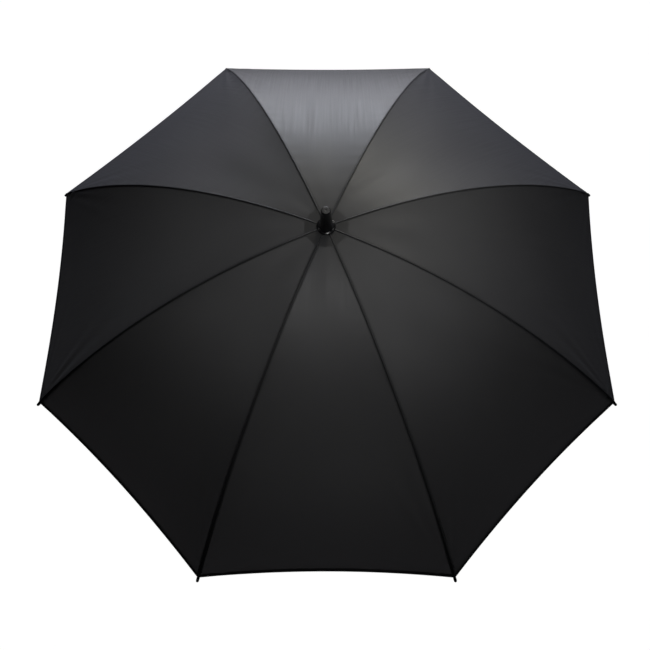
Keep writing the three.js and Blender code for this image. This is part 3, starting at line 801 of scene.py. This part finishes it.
def make_rib(number):
    form = Form()
    stations = np.linspace(TONGUE_LENGTH, RIB_REACH, 110)
    form.swept([moved([(0, y * MM, z * MM) for y, z in CHANNEL], rib_place(number, s)) for s in stations])
    form.eye_plate(1.9 * MM, 0.8 * MM, 1.2 * MM, 18 * MM, 1.6 * MM, rib_place(number, 0))
    joint = rib_place(number, JOINT_STATION, -JOINT_DROP)
    upward = joint @ Matrix.Rotation(-math.pi / 2, 4, "Y")
    form.eye_plate(2.6 * MM, 1.2 * MM, 2 * MM, 5.6 * MM, 1.6 * MM, upward)
    end = rib_place(number, RIB_REACH)
    form.swept([moved(ring_section(1.1 * MM, x * MM), end) for x in (-6, 8.6)])
    rib = form.made(f"rib_channel_{number}", STEEL, f"rib_{number}")
    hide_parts(f"rib_{number}")


def make_tip(number):
    """A thimble on the rib's end, with a rolled mouth and a domed nose."""
    corners = [(0, 9.3), (1.4, 9.3), (1.4, 0.5), (2.5, 0.5), (2.85, 0.9), (2.85, 1.7), (2.45, 2.2),
               (2.35, 3.0), (2.45, 6.0), (2.45, 12.4), (2.1, 14.0), (1.2, 14.8), (0, 15.0)]
    place = rib_place(number, RIB_REACH) @ Matrix.Rotation(math.pi / 2, 4, "Y")
    outline = millimetres(corners)
    tip = lathe(f"tip_cap_{number}", outline, TIP, f"rib_{number}", 32, 0.4 * MM, place=place)
    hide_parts(f"rib_tip_{number}")


def make_rivet(number):
    """A rivet through the rib's plate and the stretcher's fork, with a domed head at each side."""
    corners = [(0, -3.1), (0.9, -3.05), (1.6, -2.7), (1.95, -2.0), (0.9, -1.9),
               (0.9, 1.9), (1.95, 2.0), (1.6, 2.7), (0.9, 3.05), (0, 3.1)]
    place = rib_place(number, JOINT_STATION, -JOINT_DROP) @ Matrix.Rotation(math.pi / 2, 4, "X")
    outline = millimetres(corners)
    rivet = lathe(f"rivet_{number}", outline, PLATED, f"rib_{number}", 24, 0.15 * MM, place=place)
    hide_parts(f"joint_rivet_{number}")


def make_stretcher(number):
    """A channel, open side up, with a fork at the rib and an eyelet at the runner."""
    azimuth = rib_azimuth(number)
    out = Vector((math.cos(azimuth), math.sin(azimuth), 0))
    start = rib_place(number, JOINT_STATION, -JOINT_DROP).translation
    end = out * PIVOT_RADIUS + Vector((0, 0, RUNNER_Z))
    length = (end - start).length
    place = frame_at(start, end - start, (0, 0, 1))
    form = Form()
    form.swept([moved([(x, y * MM, z * MM) for y, z in STRETCHER], place)
                for x in np.linspace(3.6 * MM, length - TONGUE_LENGTH, 24)])
    for side in (-1, 1):
        form.eye_plate(2.4 * MM, 1.2 * MM, 1.35 * MM, 8 * MM, 0.5 * MM, place, side * 1.35 * MM)
    back = frame_at(end, start - end, (0, 0, 1))
    form.eye_plate(1.9 * MM, 0.8 * MM, 1.2 * MM, 18 * MM, 1.6 * MM, back)
    stretcher = form.made(f"stretcher_channel_{number}", STEEL, f"stretcher_{number}")
    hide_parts(f"stretcher_{number}")


def make_tie(number, which, station):
    """A loop of thread that holds the cloth to the rib."""
    place = rib_place(number, station)
    path = []
    for a in full_turn(28):
        y = 2.1 * math.copysign(abs(math.cos(a)) ** 0.6, math.cos(a))
        z = 0.35 + 2.3 * math.copysign(abs(math.sin(a)) ** 0.6, math.sin(a))
        path.append(tuple(place @ Vector((0.25 * math.sin(2 * a) * MM, y * MM, z * MM))))
    path.append(path[0])
    tie = swept(f"rib_tie_{number}_{which}", path, [0.22 * MM] * len(path), THREAD, f"rib_{number}", 6,
                caps=False)


for number in range(1, RIBS + 1):
    make_rib(number)
    make_tip(number)
    make_rivet(number)
    make_stretcher(number)
    for which, station in enumerate((0.13, 0.36, 0.48), 1):
        make_tie(number, which, station)


# ---------------------------------------------------------------- shaft, crown and runner
def slot_cutters(height):
    """The eight slots that hold the eyelets."""
    low, high = (6.3 * MM, -1.1 * MM, height - 3.8 * MM), (14 * MM, 1.1 * MM, height + 2.4 * MM)
    points, faces = box_points(low, high)
    return [(spun(points, rib_azimuth(k)), faces) for k in range(1, RIBS + 1)]


def collar(name, height, sleeve, cutters, node, body):
    """A slotted, grooved collar over a sleeve; sleeve is the outline below the collar."""
    outline = [*sleeve, (7.0, -3.2), (10.6, -3.2), (12.0, -2.0), (12.0, -0.8), (7.6, -0.8), (7.6, 0.8),
               (12.0, 0.8), (12.0, 1.4), (5.3, 1.4)]
    made = lathe(name, millimetres(outline, height), SATIN, None, 96, 0.3 * MM, closed=True)
    outward(made)
    carve(made, [*slot_cutters(height), *cutters])
    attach(made, body)
    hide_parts(node)


def wire_ring(name, height, node, body):
    """The wire that threads the eyelets, as a closed ring."""
    path = []
    for a in full_turn(160):
        path.append((PIVOT_RADIUS * math.cos(a), PIVOT_RADIUS * math.sin(a), height))
    form = Form()
    sections = []
    for x, y, z in path + path[:1]:
        a = math.atan2(y, x)
        section = []
        for b in full_turn(10):
            outwards, upwards = 0.45 * MM * math.cos(b), 0.45 * MM * math.sin(b)
            section.append((x + outwards * math.cos(a), y + outwards * math.sin(a), z + upwards))
        sections.append(section)
    form.add([p for section in sections for p in section], grid_faces(len(sections), 10, wrap=True))
    ring = form.made(name, PLATED, body)
    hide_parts(node)


def cross_pin(name, radius, z, azimuth, node, body):
    """A pin through the shaft, its ends peened to a dome."""
    half = 6.7
    corners = [(0, -half), (0.6 * radius, -half), (radius, -half + 0.35), (radius, half - 0.35),
               (0.6 * radius, half), (0, half)]
    place = Matrix.Translation((0, 0, z)) @ Matrix.Rotation(azimuth, 4, "Z")
    place = place @ Matrix.Rotation(math.pi / 2, 4, "Y")
    pin = lathe(name, millimetres(corners), PLATED, body, 24, 0.15 * MM, place=place)
    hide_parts(node)


def make_shaft():
    corners = [(SHAFT_BORE, SHAFT_BOTTOM), (SHAFT_RADIUS, SHAFT_BOTTOM), (SHAFT_RADIUS, SHAFT_TOP),
               (SHAFT_BORE, SHAFT_TOP)]
    made = lathe("shaft_tube", corners, STEEL, None, 64, 0.1 * MM, closed=True)
    outward(made)
    closed_pin = RUNNER_CLOSED_Z - RUNNER_PIN_DROP
    open_pin = RUNNER_Z - RUNNER_PIN_DROP
    slot = box_points((-1.1 * MM, -0.006, closed_pin - 0.004), (1.1 * MM, 0.006, open_pin + 0.004))
    carve(made, [slot, bar_points(1.2 * MM, 0.02, PIN_Z, 0)])
    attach(made, "root")
    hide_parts("shaft")


def make_hub():
    make_shaft()
    hole = bar_points(1.2 * MM, 0.02, PIN_Z, 0)
    collar("crown_notch", PIVOT_Z, [(5.3, -12), (7.0, -12)], [hole], "crown", "root")
    groove = [(7.0, 0), (6.7, 0.4), (6.7, 1.4), (7.0, 1.8)]
    rings = [(5.3, -64), (6.7, -64), (7.0, -63.6), (7.0, -46.2), (8.5, -44.9), (8.6, -43.2), (7.0, -41.8),
             *[(r, bottom + z) for bottom in (-38, -32, -26) for r, z in groove],
             (7.0, -16.2), (9.4, -14.9), (9.6, -13.1), (7.0, -11.6)]
    hole = bar_points(1.1 * MM, 0.02, RUNNER_Z - RUNNER_PIN_DROP, math.pi / 2)
    collar("runner_sleeve", RUNNER_Z, rings, [hole], "runner", "runner")
    wire_ring("crown_ring", PIVOT_Z, "crown_wire", "root")
    wire_ring("runner_ring", RUNNER_Z, "runner_wire", "runner")
    cross_pin("crown_cross_pin", 0.9, PIN_Z, 0, "crown_pin", "root")
    cross_pin("runner_cross_pin", 0.8, RUNNER_Z - RUNNER_PIN_DROP, math.pi / 2, "runner_pin", "runner")


make_hub()


# ---------------------------------------------------------------- ferrule and washer
FERRULE_BASE = PIVOT_Z + 0.0036


def make_ferrule():
    corners = [(0, 21.7), (5.3, 21.7), (5.3, 2.1), (12.2, 2.1), (12.2, 0.4), (14.4, 0.4), (14.4, 2.2),
               (13.7, 2.9), (12.0, 3.2), (11.5, 3.9), (11.6, 5.2), (11.4, 6.6), (10.7, 9), (9.9, 13),
               (8.7, 24), (7.1, 46.6), (6.9, 47.8), (6.2, 49), (5.4, 49.6), (1.9, 49.6), (1.2, 48.8),
               (0, 48.8)]
    outline = millimetres(corners, FERRULE_BASE)
    made = lathe("ferrule_body", outline, GLOSS, "root", 96, 0.5 * MM)
    made.data.materials.append(END_HIGHLIGHT)
    # The faces of the ferrule's flat end take the lighter grey material, a painted highlight.
    for face in made.data.polygons:
        if face.center.z > FERRULE_BASE + 48.6 * MM and math.hypot(face.center.x, face.center.y) < 5.5 * MM:
            face.material_index = 1
    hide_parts("ferrule")
    ring = [(5.3, 0.3), (11.8, 0.3), (11.8, 1.8), (5.3, 1.8)]
    washer = lathe("cloth_washer", millimetres(ring, FERRULE_BASE), SATIN, "root", 64, 0.3 * MM, closed=True)
    outward(washer)
    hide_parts("canopy_washer")


make_ferrule()


# ---------------------------------------------------------------- latch housing, button and springs
def coil(name, start, ahead, length, radii, turns, wire, node, flat_ends=0.75):
    """A compression spring from a point, its end coils closed."""
    place = frame_at(start, ahead, (0, 1, 0) if abs(ahead[2]) > 0.9 else (0, 0, 1))
    steps = int(turns * 24)
    path = []
    for t in np.linspace(0, 1, steps + 1):
        turned = turns * t
        closed = min(turned, flat_ends) + min(flat_ends, max(0, turned - turns + flat_ends))
        share = (turned - closed) / (turns - 2 * flat_ends)
        rise = 2 * wire * closed + share * (length - 4 * wire * flat_ends)
        radius = radii[0] + (radii[1] - radii[0]) * t
        angle = 2 * math.pi * turned
        path.append(tuple(place @ Vector((rise, radius * math.cos(angle), radius * math.sin(angle)))))
    spring = swept(name, path, [wire] * len(path), PLATED, "root", 8)
    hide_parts(node)
    return spring


def button_block(x0, x1, spare):
    width, height = BUTTON_HALF_WIDTH + spare, BUTTON_HALF_HEIGHT + spare
    return box_points((x0, -width, BUTTON_Z - height), (x1, width, BUTTON_Z + height))


def make_housing():
    corners = [(5.3, 178.3), (11.0, 178.3), (11.5, 178.8), (12.3, 181.0), (12.4, 182.0), (12.4, 186.0),
               (12.1, 186.4), (12.1, 187.2), (12.4, 187.6), (12.4, 222.0), (12.1, 226.0), (11.3, 232.0),
               (10.4, 238.0), (9.6, 240.0), (7.6, 240.0), (7.6, 228.0), (5.3, 228.0)]
    made = lathe("latch_shell", millimetres(corners), SATIN, None, 96, 0.4 * MM, closed=True)
    outward(made)
    carve(made, [button_block(-10.6 * MM, 0, 1.3 * MM), button_block(-0.0145, -7.6 * MM, 0.3 * MM)])
    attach(made, "root")
    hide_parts("latch_housing")


def make_button():
    """A key with rounded edges, a thumb dish and three ridges, and a flange that keeps it in."""
    rows, columns = 41, 23
    form = Form()
    v, u = np.meshgrid(np.linspace(-1, 1, rows), np.linspace(-1, 1, columns), indexing="ij")
    edge = np.clip((np.maximum(np.abs(u) ** 4, np.abs(v) ** 8)), 0, 1)
    dish = 0.7 * MM * np.exp(-(u / 0.9) ** 2 - (v / 0.75) ** 2)
    ridges = 0.22 * MM * np.clip(np.cos(v * 6.5 * math.pi), 0, 1) * (np.abs(v) < 0.4)
    ridges = ridges * np.clip(1.4 - 2 * np.abs(u), 0, 1)
    face = -15 * MM + 0.9 * MM * edge + dish - ridges
    for x in (face, 0 * face - 9.8 * MM):
        points = np.stack([x, u * BUTTON_HALF_WIDTH, BUTTON_Z + v * BUTTON_HALF_HEIGHT], -1)
        form.add(points.reshape(-1, 3), grid_faces(rows, columns))
    count = rows * columns
    rim = [i * columns for i in range(rows)] + [(rows - 1) * columns + j for j in range(1, columns)]
    rim += [i * columns + columns - 1 for i in range(rows - 2, -1, -1)] + list(range(columns - 2, 0, -1))
    for a, b in zip(rim, rim[1:] + rim[:1]):
        form.faces.append((a, b, count + b, count + a))
    points, faces = button_block(-10.3 * MM, -9.3 * MM, 1 * MM)
    form.add(points, faces)
    key = form.made("button_key", GLOSS, "release_button", 40)
    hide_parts("release_button")


def make_latch():
    make_housing()
    make_button()
    plug = [(0, -12), (4.1, -12), (4.1, -9.5), (3.8, -9.2), (3.8, -8.4), (4.1, -8.1), (4.1, 0), (0, 0)]
    made = lathe("plug_body", millimetres(plug, PLUG_TOP), SATIN, "root", 48, 0.3 * MM)
    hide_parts("spring_plug")
    bottom, top = PLUG_TOP + 0.001, RUNNER_Z - RUNNER_PIN_DROP - SPRING_UNDER_PIN
    opening = coil("opening_coil", (0, 0, bottom), (0, 0, 1), top - bottom, (3.4 * MM, 3.4 * MM), 20,
                   0.5 * MM, "opening_spring")
    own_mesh(opening)
    returning = coil("button_coil", (-5.8 * MM, 0, BUTTON_Z), (-1, 0, 0), 2.8 * MM, (2.7 * MM, 1.5 * MM), 3,
                     0.35 * MM, "button_spring")
    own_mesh(returning)


make_latch()


# ---------------------------------------------------------------- handle
def crook_point(along):
    grip = HANDLE_TOP - CROOK_Z
    turn = (along - grip) / CROOK_RADIUS
    if turn < 0:
        return (0, 0, HANDLE_TOP - along)
    if turn > math.pi:
        return (2 * CROOK_RADIUS, 0, CROOK_Z + CROOK_RADIUS * (turn - math.pi))
    return (CROOK_RADIUS * (1 - math.cos(turn)), 0, CROOK_Z - CROOK_RADIUS * math.sin(turn))


def make_handle():
    length = HANDLE_TOP - CROOK_Z + math.pi * CROOK_RADIUS + CROOK_RISE
    along = np.concatenate([[0, 0.0006, 0.0016], np.linspace(0.004, length - 0.003, 120),
                            [length - 0.0012, length - 0.0004, length]])
    edge = np.minimum(along, length - along)
    radii = HANDLE_RADIUS - 0.0009 * np.clip(1 - edge / 0.0016, 0, 1) ** 2
    radii -= 0.0005 * np.exp(-((along - 0.006) / 0.0008) ** 2)
    made = swept("handle_grip", [crook_point(a) for a in along], radii, SOFT, "root", 48)
    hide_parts("handle")
    seat = CROOK_Z + CROOK_RISE + 0.0003
    corners = [(0, 0), (10.6, 0), (11.4, 0.5), (11.5, 1.6), (11.0, 2.8), (9.8, 3.7), (8.1, 4.2), (0, 4.2)]
    cap = lathe("handle_cap", millimetres(corners), SATIN, "root", 64, 0.4 * MM,
                place=Matrix.Translation((2 * CROOK_RADIUS, 0, seat)))
    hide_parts("handle_end_cap")


make_handle()


# ---------------------------------------------------------------- floor and light
def make_floor():
    """A white sweep: bright to the eye, soft shade under the handle, and dark as a reflector."""
    reach = 60
    corners = [(-reach, -reach, 0), (reach, -reach, 0), (reach, reach, 0), (-reach, reach, 0)]
    mesh = bpy.data.meshes.new("floor")
    mesh.from_pydata(corners, [], [(0, 1, 2, 3)])
    floor = bpy.data.objects.new("floor", mesh)
    floor.location.z = -0.001
    bpy.context.scene.collection.objects.link(floor)
    paint = Paint("floor_paint", 0.9)
    paint.colour(paint.ramp(paint.noise(0.6, 1), (0.11, 0.11, 0.11), (0.13, 0.13, 0.13)))
    shade = paint.node("ShaderNodeAmbientOcclusion", samples=8)
    shade.inputs["Distance"].default_value = 0.3
    paint.links.new(shade.outputs["Color"], paint.shader.inputs["Emission Color"])
    seen = paint.node("ShaderNodeLightPath").outputs["Is Camera Ray"]
    paint.links.new(seen, paint.shader.inputs["Emission Strength"])
    mesh.materials.append(paint.material)


def make_backdrop():
    """White to the eye and dim as a light, so that the black cloth keeps its depth."""
    world = bpy.data.worlds.new("studio")
    bpy.context.scene.world = world
    world.use_nodes = True
    nodes, links = world.node_tree.nodes, world.node_tree.links
    seen = nodes.new("ShaderNodeLightPath")
    scale = nodes.new("ShaderNodeMapRange")
    scale.inputs["To Min"].default_value = 0.002
    links.new(seen.outputs["Is Camera Ray"], scale.inputs["Value"])
    nodes["Background"].inputs["Color"].default_value = (1, 1, 1, 1)
    links.new(scale.outputs["Result"], nodes["Background"].inputs["Strength"])


def place_light(name, data, place, aim, power, colour):
    data.energy = power
    data.color = colour
    lamp = bpy.data.objects.new(name, data)
    lamp.location = place
    lamp.rotation_mode = "QUATERNION"
    lamp.rotation_quaternion = (Vector(aim) - Vector(place)).to_track_quat("-Z", "Y")
    lamp.visible_camera = False
    bpy.context.scene.collection.objects.link(lamp)


def softbox(name, place, aim, size, power, colour=(1, 1, 1)):
    data = bpy.data.lights.new(name, "AREA")
    data.shape = "RECTANGLE"
    data.size, data.size_y = size
    place_light(name, data, place, aim, power, colour)


def snoot(name, place, aim, angle, power, colour=(1, 1, 1)):
    """A lamp whose round pool of light fades softly to its edge."""
    data = bpy.data.lights.new(name, "SPOT")
    data.spot_size = math.radians(angle)
    data.spot_blend = 1
    data.shadow_soft_size = 0.2
    place_light(name, data, place, aim, power, colour)


def make_light():
    make_floor()
    make_backdrop()
    softbox("back_softbox", (0, 3.2, 0.5), (0, 0, 0.7), (2.4, 1.2), 46, (0.93, 0.92, 1.0))
    snoot("back_snoot", (0, 3.2, 1.1), (0, 0.2, 0.65), 20, 62, (0.82, 0.9, 1.0))
    snoot("high_back_snoot", (0.8, 2.4, 2.4), (0.05, 0.1, 0.75), 22, 74, (1.0, 0.95, 0.8))
    snoot("high_left_snoot", (-0.5, 2.6, 2.4), (-0.12, 0.2, 0.72), 18, 22)
    snoot("top_snoot", (0.3, -0.2, 3.4), (0.1, -0.08, 0.77), 20, 62)
    snoot("right_snoot", (2.4, 0.2, 2.6), (0.16, 0.0, 0.73), 16, 58)
    snoot("left_snoot", (-2.4, 0.0, 2.6), (-0.12, -0.02, 0.74), 15, 24)
    snoot("high_right_snoot", (1.3, 2.2, 2.4), (0.2, 0.2, 0.72), 20, 45)
    snoot("front_snoot", (0.4, -2.6, 2.0), (0.02, -0.17, 0.73), 12, 17)
    snoot("handle_snoot", (-1.2, -1.6, 0.4), (0.02, 0, 0.14), 15, 40)
    snoot("handle_rim_snoot", (1.5, 1.0, 0.45), (0.02, 0, 0.14), 15, 40)
    data = bpy.data.lights.new("inner_lamp", "POINT")
    data.shadow_soft_size = 0.05
    place_light("inner_lamp", data, (0, 0, 0.58), (0, 0, 1), 0.8, (0.97, 0.98, 1.0))
    bpy.context.scene.view_settings.view_transform = "Standard"


make_light()
